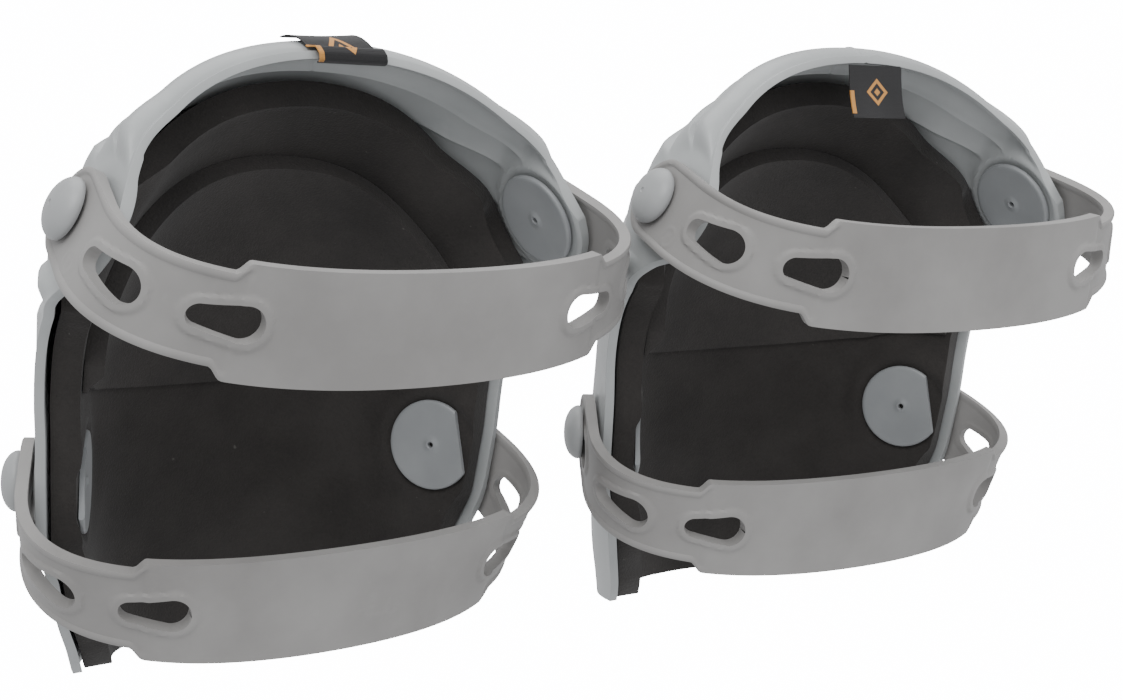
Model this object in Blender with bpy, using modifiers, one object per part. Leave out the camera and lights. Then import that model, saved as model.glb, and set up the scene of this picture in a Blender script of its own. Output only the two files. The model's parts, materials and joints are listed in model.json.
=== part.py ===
"""Pair of flexible moulded knee pads, each with a foam liner, two rubber straps and four studs.

Run with: blender --background --python part.py   (Blender 4.5, metres, +Z up)
"""
import math

import bmesh
import bpy
import numpy as np
from mathutils import Matrix, Vector

MM = 0.001

# ---- Shell ------------------------------------------------------------------------------------
SHELL_WALL = 3.0          # moulded wall
BASE_FRONT = 52.0         # front of the base, ahead of the pad's origin
BASE_HALF_WIDTH = 60.0    # at the rear corners of the base
LOWER_HALF_WIDTH = 82.5   # wings behind the lower studs
WAIST_HALF_WIDTH = 85.0   # notch between wing and ear
EAR_HALF_WIDTH = 87.0     # lower edge of the ear
RIM_HEIGHT = 188.5        # top of the rim arch over the floor
KNEE_FRONT = 17.0         # front of the knee dome at waist height
LOWER_STUD = (74.4, -18.7, 64.3)
UPPER_STUD = (79.5, -75.7, 140.0)
LOWER_STUD_TURN, LOWER_STUD_TILT = 27.5, 4.5     # degrees: towards the front, and up
UPPER_STUD_TURN, UPPER_STUD_TILT = -1.2, 23.7
SEAT_FLAT = 19.0          # flat round each stud
SEAT_BLEND = 14.0         # where the flat runs out into the wall
BOSS_RADIUS = 8.0         # raised ring that a strap end swings on
BOSS_RISE = 1.2
RIB_COUNT = 5
RIB_DEPTH = 1.8
RIB_FADE = 10.0           # over which the ribs run out round the ear's seat
ROLL_RISE = 4.0           # fat band beside the rim

# ---- Liner and cushion ------------------------------------------------------------------------
GAP = 0.3                 # between pieces that touch
LINER_WALL = 9.0
LINER_GAP = 1.0           # room for the glue between liner and shell
LINER_BASE = 1.0          # lower edge of the liner over the floor
LINER_INSET = 3.5         # liner edge inside the shell's edge
CUSHION_WALL = 6.0        # wall along its arched upper edge
CUSHION_THIN = 1.5        # wall at its lower edge
CUSHION_GAP = 1.0         # room for the glue between cushion and liner

# ---- Studs ------------------------------------------------------------------------------------
FLANGE_RADIUS = 16.0
FLANGE_WALL = 1.8
FLANGE_CHORD = 11.5       # straight cut of a lower flange, from its centre
POST_RADIUS = 2.8
POST_CLEARANCE = 0.4      # post in the shell and the liner
SEAT_GAP = 0.6            # under a flange
LINER_PRESS = 1.5         # how far a lower flange beds into the foam
EYE_RADIUS = 1.0          # small hole in the middle of the flange
EYE_DEPTH = 4.0
BUTTON_RADIUS = 9.5
BUTTON_RISE = 6.0
BUTTON_GRIP = 3.0         # how far the post stands in the button
BUTTON_EDGE = 0.9         # rounded lower edge
SOCKET_PLAY = 0.05        # round the post's end in the button

# ---- Straps -----------------------------------------------------------------------------------
STRAP_WALL = 3.0
STRAP_WIDTH = 34.0
STRAP_END_WIDTH = 27.0
STRAP_PLAY = 0.9          # over and under a strap end, in place of the rubber's give
STRAP_EYE_CLEARANCE = 0.8
STRAP_STRAIGHT = 15.0     # flat end past the stud
UPPER_LOOP, LOWER_LOOP = 62.0, 66.0      # depth of the loops behind the studs
LOOP_BULGE = 39.0         # how far a loop runs on before it turns in
LOOP_FLAT = 58.0          # how flat its back is
SLOT_PITCH = 33.0
SLOT_LENGTH = 21.0
SLOT_SMALL, SLOT_BIG = 3.6, 5.5          # end radii of a slot
SLOT_CUT = 9.0            # how far a slot's cutter stands out of the strap
UPPER_DROOP = (37.0, 30.0)               # degrees, left and right pad
LOWER_DROOP = (40.0, 33.0)
STRAP_TWIST = 0.5         # share of the droop that the strap's width leans by

# ---- Label ------------------------------------------------------------------------------------
LABEL_WIDTH, LABEL_DROP, LABEL_WALL = 24.0, 18.0, 1.0
LABEL_OFFSET = 4.0        # to the right of the middle
LABEL_GAP = 1.0           # under the shell

# ---- Pair -------------------------------------------------------------------------------------
PAIR_SPACING = 192.0
PAIR_STAGGER = 38.0       # the right pad stands further back
PAD_TURN = 2.9            # degrees, each pad towards the other's back

COLOURS = {
    "shell": ((0.39, 0.41, 0.41), 0.38),
    "liner": ((0.024, 0.022, 0.021), 0.85),
    "cushion": ((0.021, 0.019, 0.019), 0.9),
    "strap": ((0.29, 0.28, 0.27), 0.55),
    "stud": ((0.35, 0.37, 0.38), 0.4),
    "label": ((0.012, 0.012, 0.012), 0.95),
}


def clear_scene():
    for item in list(bpy.data.objects):
        bpy.data.objects.remove(item, do_unlink=True)


def new_collection(name):
    group = bpy.data.collections.new(name)
    bpy.context.scene.collection.children.link(group)
    return group


def material(name, kind):
    colour, roughness = COLOURS[kind]
    made = bpy.data.materials.new(name)
    made.use_nodes = True
    shader = made.node_tree.nodes["Principled BSDF"]
    shader.inputs["Base Color"].default_value = (*colour, 1.0)
    shader.inputs["Roughness"].default_value = roughness
    shader.inputs["Metallic"].default_value = 0.0
    made.diffuse_color = (*colour, 1.0)
    return made


def add_object(name, bm, kind, parent=None):
    """A new object from a bmesh in millimetres."""
    bmesh.ops.scale(bm, vec=(MM, MM, MM), verts=bm.verts)
    mesh = bpy.data.meshes.new(name)
    bm.to_mesh(mesh)
    bm.free()
    made = bpy.data.objects.new(name, mesh)
    if kind is None:
        CUTTERS.objects.link(made)
        made.hide_render = True
        made.display_type = "WIRE"
    else:
        PAIR.objects.link(made)
        mesh.materials.append(material(name, kind))
    made.parent = parent
    return made


def cut(target, cutter):
    boolean = target.modifiers.new(cutter.name, "BOOLEAN")
    boolean.operation = "DIFFERENCE"
    boolean.solver = "EXACT"
    boolean.object = cutter


def solidify(target, thickness, offset):
    wall = target.modifiers.new("wall", "SOLIDIFY")
    wall.thickness = thickness * MM
    wall.offset = offset
    wall.use_even_offset = True
    wall.use_quality_normals = True


def smoothstep(value):
    value = min(max(value, 0.0), 1.0)
    return value * value * (3.0 - 2.0 * value)


def direction(turn, tilt):
    """Outward direction on the right-hand side, turned to the front and tilted up."""
    turn, tilt = math.radians(turn), math.radians(tilt)
    return Vector((math.cos(turn) * math.cos(tilt), math.sin(turn) * math.cos(tilt), math.sin(tilt)))


STUDS = {
    "upper": (Vector(UPPER_STUD), direction(UPPER_STUD_TURN, UPPER_STUD_TILT)),
    "lower": (Vector(LOWER_STUD), direction(LOWER_STUD_TURN, LOWER_STUD_TILT)),
}


# ---- The shell's middle surface ---------------------------------------------------------------
# Each section runs from the front profile back to the edge, in a plane that holds the X
# direction: front y, front z, edge y, edge z, half width at the edge, flare of the edge.
def section_table():
    lower_y, lower_z = LOWER_STUD[1], LOWER_STUD[2]
    ear_y, ear_z = UPPER_STUD[1], UPPER_STUD[2]
    knee = KNEE_FRONT
    return np.array([
        (BASE_FRONT, -5.0, 9.0, -5.0, BASE_HALF_WIDTH - 4, 16.0),
        (BASE_FRONT - 2, 8.0, -6.0, 7.0, BASE_HALF_WIDTH + 4, 18.0),
        (BASE_FRONT - 8, 30.0, lower_y - 4, 27.0, BASE_HALF_WIDTH + 15, 22.0),
        (knee + 15, 66.0, lower_y - 17, lower_z, LOWER_HALF_WIDTH, 27.0),
        (knee + 4, 98.0, lower_y - 25, lower_z + 30, WAIST_HALF_WIDTH, 27.0),
        (knee - 8, 126.0, ear_y + 20, ear_z - 28, WAIST_HALF_WIDTH + 1.5, 25.0),
        (knee - 26, 152.0, ear_y + 3, ear_z - 19.5, EAR_HALF_WIDTH, 24.0),
        (knee - 50, 173.0, ear_y - 8, ear_z - 17.5, EAR_HALF_WIDTH - 0.5, 24.0),
        (knee - 72, RIM_HEIGHT - 3, ear_y - 14, ear_z - 13.5, EAR_HALF_WIDTH - 2, 24.0),
        (knee - 88, RIM_HEIGHT, ear_y - 18, ear_z - 8.5, EAR_HALF_WIDTH - 4.5, 24.0),
        (knee - 101, RIM_HEIGHT, ear_y - 20, ear_z - 2.5, EAR_HALF_WIDTH - 7, 24.0),
    ])


SECTIONS = section_table()
LAST = len(SECTIONS) - 1
HOOD_START, HOOD_END = 4.3, 8.6      # where the ribs begin and end, in sections


def section_at(station):
    """Smooth values between two sections."""
    station = min(max(station, 0.0), float(LAST))
    low = min(int(station), LAST - 1)
    part = station - low
    before, first = SECTIONS[max(low - 1, 0)], SECTIONS[low]
    second, after = SECTIONS[low + 1], SECTIONS[min(low + 2, LAST)]
    start, end = 0.5 * (second - before), 0.5 * (after - first)
    if low == 0:
        start = second - first
    if low == LAST - 1:
        end = second - first
    square, cube = part * part, part * part * part
    return ((2 * cube - 3 * square + 1) * first + (cube - 2 * square + part) * start
            + (3 * square - 2 * cube) * second + (cube - square) * end)


def shell_point(station, back):
    """Point of the right half: back is 0 at the front profile and 1 at the edge."""
    front_y, front_z, edge_y, edge_z, half, flare = section_at(station)
    reach = math.hypot(front_y - edge_y, front_z - edge_z)
    flare = math.radians(flare)
    handle = 0.36 * reach
    controls = ((0.0, 0.0), (0.0, 0.72 * half),
                (reach - handle * math.cos(flare), half - handle * math.sin(flare)), (reach, half))
    weights = ((1 - back) ** 3, 3 * back * (1 - back) ** 2, 3 * back * back * (1 - back), back ** 3)
    depth = sum(weight * control[0] for weight, control in zip(weights, controls))
    across = sum(weight * control[1] for weight, control in zip(weights, controls))
    share = depth / reach
    y = front_y + (edge_y - front_y) * share
    z = front_z + (edge_z - front_z) * share
    for place, out in STUDS.values():
        away = math.hypot(y - place.y, z - place.z)
        seat = place.x - (out.y * (y - place.y) + out.z * (z - place.z)) / out.x
        if across > 0.5 * place.x:
            across += (seat - across) * (1.0 - smoothstep((away - SEAT_FLAT) / SEAT_BLEND))
    return Vector((across, y, z))


def shell_normal(station, back):
    """Outward normal of the right half."""
    step = 0.02
    along = shell_point(station + step, back) - shell_point(station - step, back)
    if back < step:
        inner, outer = shell_point(station, 0.0), shell_point(station, back + step)
        mirrored = Vector((-outer.x, outer.y, outer.z))
        around = outer - mirrored if back < 0.5 * step else outer - inner
    else:
        around = shell_point(station, min(back + step, 1.0)) - shell_point(station, back - step)
    normal = around.cross(along)
    normal.normalize()
    return normal if normal.y * (1 - back) + normal.x * back + normal.z * 0.3 > 0 else -normal


def rib_rise(station, back, point):
    """Outward rise of the ribs and of the roll beside the rim, down to nothing at the ear's seat."""
    ear = STUDS["upper"][0]
    away = math.hypot(point.y - ear.y, point.z - ear.z)
    fade = smoothstep((away - SEAT_FLAT) / RIB_FADE) * (1.0 - smoothstep((back - 0.8) / 0.15))
    if HOOD_START < station < HOOD_END:
        turn = (station - HOOD_START) / (HOOD_END - HOOD_START) * RIB_COUNT
        return RIB_DEPTH * fade * (0.5 - 0.5 * math.cos(2 * math.pi * turn))
    if station >= HOOD_END:
        return ROLL_RISE * fade * math.sin(math.pi * (station - HOOD_END) / (LAST - HOOD_END))
    return 0.0


def surface_grid(stations, backs):
    """Rows of points over both halves of the middle surface, with its ribs."""
    rows = []
    for station in stations:
        half = []
        for back in backs:
            point = shell_point(station, back)
            half.append(point + shell_normal(station, back) * rib_rise(station, back, point))
        half[0].x = 0.0
        left = [Vector((-p.x, p.y, p.z)) for p in reversed(half[1:])]
        rows.append(left + half)
    return rows


def sheet_from_rows(rows):
    bm = bmesh.new()
    grid = [[bm.verts.new(point) for point in row] for row in rows]
    for lower, upper in zip(grid, grid[1:]):
        for k in range(len(lower) - 1):
            bm.faces.new((lower[k], lower[k + 1], upper[k + 1], upper[k]))
    bmesh.ops.recalc_face_normals(bm, faces=bm.faces)
    return bm


def face_outwards(bm):
    """Turn the whole sheet so that its front face looks forward."""
    ahead = max(bm.faces, key=lambda face: face.calc_center_median().y)
    if ahead.normal.y < 0:
        bmesh.ops.reverse_faces(bm, faces=bm.faces)


def shell_stations():
    shin = list(np.linspace(0.0, HOOD_START, 12, endpoint=False))
    ribs = list(np.linspace(HOOD_START, HOOD_END, RIB_COUNT * 4, endpoint=False))
    return shin + ribs + list(np.linspace(HOOD_END, LAST, 7))


def stud_matrix(level, side):
    """Frame of a stud: its Z runs outwards along the stud, its X back along the strap."""
    place, out = STUDS[level]
    out = Vector((side * out.x, out.y, out.z))
    place = Vector((side * place.x, place.y, place.z))
    back = Vector((0.0, -1.0, 0.0))
    back = (back - back.dot(out) * out).normalized()
    up = out.cross(back)
    return Matrix.Translation(place) @ Matrix((back, up, out)).transposed().to_4x4()


def cylinder(radius, low, high, sides):
    bm = bmesh.new()
    bmesh.ops.create_cone(bm, cap_ends=True, segments=sides, radius1=radius, radius2=radius, depth=high - low)
    bmesh.ops.translate(bm, vec=(0, 0, (low + high) / 2), verts=bm.verts)
    return bm


def place_on_stud(made, matrix):
    scaled = matrix.copy()
    scaled.translation *= MM
    made.matrix_local = scaled


def cut_base(made, height, pad):
    """Level cut through the lower edge."""
    box = bmesh.new()
    half = 150.0
    bmesh.ops.create_cube(box, size=2 * half)
    bmesh.ops.translate(box, vec=(0, 0, height - half), verts=box.verts)
    cut(made, add_object(f"{made.name}_base_cut", box, None, pad))


def make_shell(side_name, pad):
    backs = np.linspace(0.0, 1.0, 12)
    bm = sheet_from_rows(surface_grid(shell_stations(), backs))
    face_outwards(bm)
    shell = add_object(f"{side_name}_shell", bm, "shell", pad)
    solidify(shell, SHELL_WALL, 0.0)
    bosses = []
    for level in STUDS:
        for side in (-1, 1):
            hole = add_object(f"{side_name}_{level}_{side}_shell_hole",
                              cylinder(POST_RADIUS + POST_CLEARANCE, -20, 20, 24), None, pad)
            place_on_stud(hole, stud_matrix(level, side))
            ring = add_object(f"{side_name}_{level}_{side}_boss",
                              cylinder(BOSS_RADIUS, 0, SHELL_WALL / 2 + BOSS_RISE, 28), None, pad)
            place_on_stud(ring, stud_matrix(level, side))
            bosses.append((ring, hole))
    for ring, _ in bosses:
        join = shell.modifiers.new(ring.name, "BOOLEAN")
        join.operation = "UNION"
        join.solver = "EXACT"
        join.object = ring
    for _, hole in bosses:
        cut(shell, hole)
    cut_base(shell, 0.0, pad)
    return shell


# ---- Foam -------------------------------------------------------------------------------------
LINER_TOP = 8.3           # section where the liner ends at the middle of the hood
LINER_FALL = 3.0          # how many sections lower it ends at its sides


def liner_place(up, out):
    """Section and back for a point of the liner: up and out run from 0 to 1."""
    station = up * (LINER_TOP - LINER_FALL * out ** 1.6)
    return station, out * (1.0 - LINER_INSET / 75.0)


def liner_clearance(station):
    """The liner stands clear of the hood's ribs, which it doesn't follow."""
    return SHELL_WALL / 2 + LINER_GAP + 0.5 * smoothstep((station - HOOD_START + 1) / 1.0)


def foam_grid(ups, outs, place, extra):
    rows = []
    for up in ups:
        half = []
        for out in outs:
            station, back = place(up, out)
            inward = liner_clearance(station) + extra
            half.append(shell_point(station, back) - shell_normal(station, back) * inward)
        half[0].x = 0.0
        left = [Vector((-p.x, p.y, p.z)) for p in reversed(half[1:])]
        rows.append(left + half)
    return rows


def thick_sheet(outer_rows, inner_rows):
    """Closed solid between two grids of the same size."""
    bm = bmesh.new()
    outer = [[bm.verts.new(p) for p in row] for row in outer_rows]
    inner = [[bm.verts.new(p) for p in row] for row in inner_rows]
    for grid in (outer, inner):
        for lower, upper in zip(grid, grid[1:]):
            for k in range(len(lower) - 1):
                bm.faces.new((lower[k], lower[k + 1], upper[k + 1], upper[k]))
    rim_outer = outer[0] + [row[-1] for row in outer[1:]] + outer[-1][-2::-1]
    rim_outer += [row[0] for row in outer[-2:0:-1]]
    rim_inner = inner[0] + [row[-1] for row in inner[1:]] + inner[-1][-2::-1]
    rim_inner += [row[0] for row in inner[-2:0:-1]]
    for k in range(len(rim_outer)):
        after = (k + 1) % len(rim_outer)
        bm.faces.new((rim_outer[k], rim_outer[after], rim_inner[after], rim_inner[k]))
    bmesh.ops.recalc_face_normals(bm, faces=bm.faces)
    return bm


def make_liner(side_name, pad):
    ups, outs = np.linspace(0.0, 1.0, 16), np.linspace(0.0, 1.0, 9)
    bm = thick_sheet(foam_grid(ups, outs, liner_place, 0.0), foam_grid(ups, outs, liner_place, LINER_WALL))
    liner = add_object(f"{side_name}_liner", bm, "liner", pad)
    for side in (-1, 1):
        hole = add_object(f"{side_name}_liner_hole_{side}",
                          cylinder(POST_RADIUS + POST_CLEARANCE, -30, 10, 24), None, pad)
        place_on_stud(hole, stud_matrix("lower", side))
        cut(liner, hole)
        top = stack("lower")["flange_top"] + GAP
        bed = add_object(f"{side_name}_liner_bed_{side}",
                         cylinder(FLANGE_RADIUS + GAP, top - 12, top, 36), None, pad)
        place_on_stud(bed, stud_matrix("lower", side))
        cut(liner, bed)
    cut_base(liner, LINER_BASE, pad)
    return liner


CUSHION_LOW, CUSHION_TOP = 3.9, 7.0      # sections at the cushion's lower edge and at its arch
CUSHION_FALL = 2.7        # how many sections lower the arch ends at its sides
CUSHION_REACH = 0.93      # how far round the pad it runs, as a share of the half section


def cushion_place(up, out):
    """Section and back for a point of the cushion: up and out run from 0 to 1."""
    station = CUSHION_LOW + up * (CUSHION_TOP - CUSHION_FALL * out ** 2 - CUSHION_LOW)
    return station, out * CUSHION_REACH


def make_cushion(side_name, pad):
    """Arched cushion that lies on the liner at the knee and thins towards its lower edge."""
    ups, outs = np.linspace(0.0, 1.0, 9), np.linspace(0.0, 1.0, 9)
    under = LINER_WALL + CUSHION_GAP
    outer = foam_grid(ups, outs, cushion_place, under)
    inner = []
    for up in ups:
        wall = CUSHION_THIN + (CUSHION_WALL - CUSHION_THIN) * smoothstep(1.5 * up)
        inner += foam_grid([up], outs, cushion_place, under + wall)
    return add_object(f"{side_name}_knee_cushion", thick_sheet(outer, inner), "cushion", pad)


# ---- Studs ------------------------------------------------------------------------------------
def stack(level):
    """Heights along a stud from the shell's middle surface."""
    foam = LINER_WALL + LINER_GAP - LINER_PRESS if level == "lower" else 0.0
    flange_top = -(SHELL_WALL / 2 + SEAT_GAP + foam)
    boss_top = SHELL_WALL / 2 + BOSS_RISE
    strap_low = boss_top + STRAP_PLAY
    button_low = strap_low + STRAP_WALL + STRAP_PLAY
    return {"flange_top": flange_top, "strap_middle": strap_low + STRAP_WALL / 2, "button_low": button_low}


def make_flange(side_name, level, side, word, pad):
    heights = stack(level)
    bm = cylinder(FLANGE_RADIUS, heights["flange_top"] - FLANGE_WALL, heights["flange_top"], 36)
    name = f"{side_name}_{level}_{word}_flange"
    flange = add_object(name, bm, "stud", pad)
    place_on_stud(flange, stud_matrix(level, side))
    post_top = heights["button_low"] + BUTTON_GRIP
    post = add_object(f"{name}_post", cylinder(POST_RADIUS, heights["flange_top"] - FLANGE_WALL / 2, post_top, 24),
                      None, pad)
    place_on_stud(post, stud_matrix(level, side))
    join = flange.modifiers.new("post", "BOOLEAN")
    join.operation = "UNION"
    join.solver = "EXACT"
    join.object = post
    low = heights["flange_top"] - FLANGE_WALL
    eye = add_object(f"{name}_eye", cylinder(EYE_RADIUS, low - 2, low + EYE_DEPTH, 16), None, pad)
    place_on_stud(eye, stud_matrix(level, side))
    cut(flange, eye)
    if level == "lower":
        box = bmesh.new()
        half = 20.0
        bmesh.ops.create_cube(box, size=2 * half)
        bmesh.ops.translate(box, vec=(FLANGE_CHORD + half, 0, heights["flange_top"] + GAP - half),
                            verts=box.verts)
        chord = add_object(f"{name}_chord", box, None, pad)
        place_on_stud(chord, stud_matrix(level, side))
        cut(flange, chord)
    return flange


def make_button(side_name, level, side, word, pad):
    """Domed head with a socket for the post's end."""
    low = stack(level)["button_low"]
    edge, socket = low + BUTTON_EDGE, POST_RADIUS + SOCKET_PLAY
    profile = [(socket, low), (BUTTON_RADIUS - BUTTON_EDGE, low), (BUTTON_RADIUS, edge)]
    for k in range(1, 4):
        turn = k / 4 * math.pi / 2
        profile.append((BUTTON_RADIUS * math.cos(turn), edge + (BUTTON_RISE - BUTTON_EDGE) * math.sin(turn)))
    profile.append((0.0, low + BUTTON_RISE))
    profile.append((0.0, low + BUTTON_GRIP + GAP))
    profile.append((socket, low + BUTTON_GRIP + GAP))
    bm = bmesh.new()
    points = [bm.verts.new((radius, 0.0, height)) for radius, height in profile]
    edges = [bm.edges.new(pair) for pair in zip(points, points[1:])]
    edges.append(bm.edges.new((points[-1], points[0])))
    bmesh.ops.spin(bm, geom=points + edges, cent=(0, 0, 0), axis=(0, 0, 1), dvec=(0, 0, 0),
                   angle=2 * math.pi, steps=24, use_merge=True, use_duplicate=False)
    bmesh.ops.remove_doubles(bm, verts=bm.verts, dist=0.001)
    bmesh.ops.recalc_face_normals(bm, faces=bm.faces)
    button = add_object(f"{side_name}_{level}_{word}_button", bm, "stud", pad)
    place_on_stud(button, stud_matrix(level, side))
    return button


# ---- Straps -----------------------------------------------------------------------------------
def strap_half(level, droop, loop):
    """Middle line of the right half, from the stud to the back: point, width direction."""
    place, out = STUDS[level]
    start = place + out * stack(level)["strap_middle"]
    droop = math.radians(droop)
    down = Vector((0.0, -math.cos(droop), -math.sin(droop)))
    along = (down - down.dot(out) * out).normalized()
    across = out.cross(along)
    if across.z < 0:
        across = -across
    lean = droop * STRAP_TWIST
    back_across = Vector((0.0, -math.sin(lean), math.cos(lean)))
    back = Vector((0.0, start.y, start.z)) + down * loop
    turn_in = start + along * STRAP_STRAIGHT
    controls = (turn_in, turn_in + along * LOOP_BULGE, back + Vector((LOOP_FLAT, 0, 0)), back)
    line = [(start - along * STRAP_END_WIDTH / 2 * (1 - k / 4), across) for k in range(4)]
    line += [(start + along * STRAP_STRAIGHT * k / 3, across) for k in range(3)]
    steps = 22
    for k in range(steps + 1):
        t = k / steps
        weights = ((1 - t) ** 3, 3 * t * (1 - t) ** 2, 3 * t * t * (1 - t), t ** 3)
        point = sum((control * weight for control, weight in zip(controls, weights)), Vector())
        line.append((point, across.lerp(back_across, smoothstep(t)).normalized()))
    return line, start


def strap_line(level, droop, loop):
    """Whole middle line from the left end to the right end."""
    half, _ = strap_half(level, droop, loop)
    mirror = [(Vector((-p.x, p.y, p.z)), Vector((-a.x, a.y, a.z))) for p, a in half]
    return mirror + half[-2::-1]


def strap_width(distance, length):
    """Width at a distance from the nearer tip."""
    near = min(distance, length - distance)
    radius = STRAP_END_WIDTH / 2
    if near < radius:
        return 2 * math.sqrt(max(radius * radius - (radius - near) ** 2, 4.0))
    step = radius + 2 * SLOT_PITCH
    return STRAP_END_WIDTH + (STRAP_WIDTH - STRAP_END_WIDTH) * smoothstep((near - step) / 6.0)


def place_along(line, distance):
    """Frame on the strap at a distance from its left tip: point, along, across, out."""
    travelled = 0.0
    for (here, here_across), (there, there_across) in zip(line, line[1:]):
        piece = (there - here).length
        if travelled + piece >= distance:
            share = (distance - travelled) / piece
            along = (there - here).normalized()
            across = here_across.lerp(there_across, share).normalized()
            return here.lerp(there, share), along, across, along.cross(across).normalized()
        travelled += piece
    raise ValueError("past the end of the strap")


def slot_cutter(name, frame, pad, pointed):
    """Teardrop through the strap: pointed is +1 when its small end is further along."""
    point, along, across, out = frame
    gap = SLOT_LENGTH - SLOT_SMALL - SLOT_BIG
    bm = bmesh.new()
    outline = []
    lean = math.asin((SLOT_BIG - SLOT_SMALL) / gap)
    for k in range(9):
        turn = math.pi / 2 - lean - (math.pi - 2 * lean) * k / 8
        outline.append((gap / 2 + SLOT_SMALL * math.cos(turn), SLOT_SMALL * math.sin(turn)))
    for k in range(11):
        turn = -math.pi / 2 - lean - (math.pi - 2 * lean) * k / 10 + 2 * lean * (k / 10 - 0.5)
        outline.append((-gap / 2 + SLOT_BIG * math.cos(turn), SLOT_BIG * math.sin(turn)))
    ends = []
    for height in (-SLOT_CUT, SLOT_CUT):
        ends.append([bm.verts.new(point + along * (pointed * x) + across * y + out * height)
                     for x, y in outline])
    bm.faces.new(ends[0])
    bm.faces.new(ends[1])
    for k in range(len(outline)):
        after = (k + 1) % len(outline)
        bm.faces.new((ends[0][k], ends[0][after], ends[1][after], ends[1][k]))
    bmesh.ops.recalc_face_normals(bm, faces=bm.faces)
    return add_object(name, bm, None, pad)


def make_strap(side_name, level, droop, loop, pad, fixed_side):
    """Rubber strap: a round eye at its fixed end, and slots along both ends."""
    line = strap_line(level, droop, loop)
    lengths = [0.0]
    for (here, _), (there, _) in zip(line, line[1:]):
        lengths.append(lengths[-1] + (there - here).length)
    total = lengths[-1]
    outer, inner = [], []
    for k, (point, across) in enumerate(line):
        before, after = line[max(k - 1, 0)][0], line[min(k + 1, len(line) - 1)][0]
        along = (after - before).normalized()
        out = along.cross(across).normalized() * (STRAP_WALL / 2)
        width = strap_width(lengths[k], total)
        steps = [across * width * (share - 0.5) for share in (0.0, 0.5, 1.0)]
        outer.append([point + out + step for step in steps])
        inner.append([point - out + step for step in steps])
    name = f"{side_name}_{level}_strap"
    pivot = bpy.data.objects.new(f"{name}_pivot", None)
    PAIR.objects.link(pivot)
    pivot.parent = pad
    height = strap_half(level, droop, loop)[1]
    pivot.location = Vector((0.0, height.y, height.z)) * MM
    strap = add_object(name, thick_sheet(outer, inner), "strap", pivot)
    strap.location = -pivot.location
    radius = STRAP_END_WIDTH / 2
    for end in (-1, 1):
        if end == fixed_side:
            eye = add_object(f"{name}_eye", cylinder(POST_RADIUS + STRAP_EYE_CLEARANCE, -5, 12, 24), None, pad)
            place_on_stud(eye, stud_matrix(level, end))
            cut(strap, eye)
        first = 1 if end == fixed_side else 0
        for k in range(first, 3):
            shift = 0.0 if end == fixed_side else slot_shift()
            distance = radius + SLOT_PITCH * k + shift
            place = distance if end < 0 else total - distance
            cutter = slot_cutter(f"{name}_slot_{end}_{k}", place_along(line, place), pad, end)
            cut(strap, cutter)
    return strap


def slot_shift():
    """From the post, in a slot's small end, to the slot's middle."""
    return (SLOT_LENGTH - SLOT_SMALL - SLOT_BIG) / 2


# ---- Label ------------------------------------------------------------------------------------
def make_label(side_name, pad):
    """Woven tag that hangs inside the rim."""
    top = shell_point(LAST, 0.0)
    bm = bmesh.new()
    bmesh.ops.create_cube(bm, size=1.0)
    bmesh.ops.scale(bm, vec=(LABEL_WIDTH, LABEL_WALL, LABEL_DROP), verts=bm.verts)
    drop = SHELL_WALL / 2 + LABEL_GAP + LABEL_DROP / 2
    bmesh.ops.translate(bm, vec=(LABEL_OFFSET, top.y, top.z - drop), verts=bm.verts)
    return add_object(f"{side_name}_label", bm, "label", pad)


def make_pad(side_name, index):
    pad = bpy.data.objects.new(f"{side_name}_pad", None)
    PAIR.objects.link(pad)
    side = 1 if index else -1
    make_shell(side_name, pad)
    make_liner(side_name, pad)
    make_cushion(side_name, pad)
    make_strap(side_name, "upper", UPPER_DROOP[index], UPPER_LOOP, pad, -1)
    make_strap(side_name, "lower", LOWER_DROOP[index], LOWER_LOOP, pad, 1)
    for level in STUDS:
        for stud_side, word in ((-1, "left"), (1, "right")):
            make_flange(side_name, level, stud_side, word, pad)
            make_button(side_name, level, stud_side, word, pad)
    make_label(side_name, pad)
    pad.location = (side * PAIR_SPACING / 2 * MM, -side * PAIR_STAGGER / 2 * MM, 0.0)
    pad.rotation_euler.z = math.radians(-side * PAD_TURN)


def stand_on_origin():
    """Move both pads so that the pair's bounding box stands on the origin."""
    bpy.context.view_layer.update()
    graph = bpy.context.evaluated_depsgraph_get()
    corners = []
    for item in PAIR.objects:
        if item.type == "MESH":
            shape = item.evaluated_get(graph)
            mesh = shape.to_mesh()
            corners += [item.matrix_world @ vert.co for vert in mesh.vertices]
            shape.to_mesh_clear()
    low = [min(corner[k] for corner in corners) for k in range(3)]
    high = [max(corner[k] for corner in corners) for k in range(3)]
    shift = Vector(((low[0] + high[0]) / 2, (low[1] + high[1]) / 2, low[2]))
    for item in PAIR.objects:
        if item.name.endswith("_pad"):
            item.location -= shift
    bpy.context.view_layer.update()


clear_scene()
PAIR = new_collection("knee_pads")
CUTTERS = new_collection("knee_pads_cutters")
for number, which in enumerate(("left", "right")):
    make_pad(which, number)
stand_on_origin()
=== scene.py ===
import json
import math

import bmesh
import bpy
import numpy as np
from mathutils import Matrix, Vector


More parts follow.
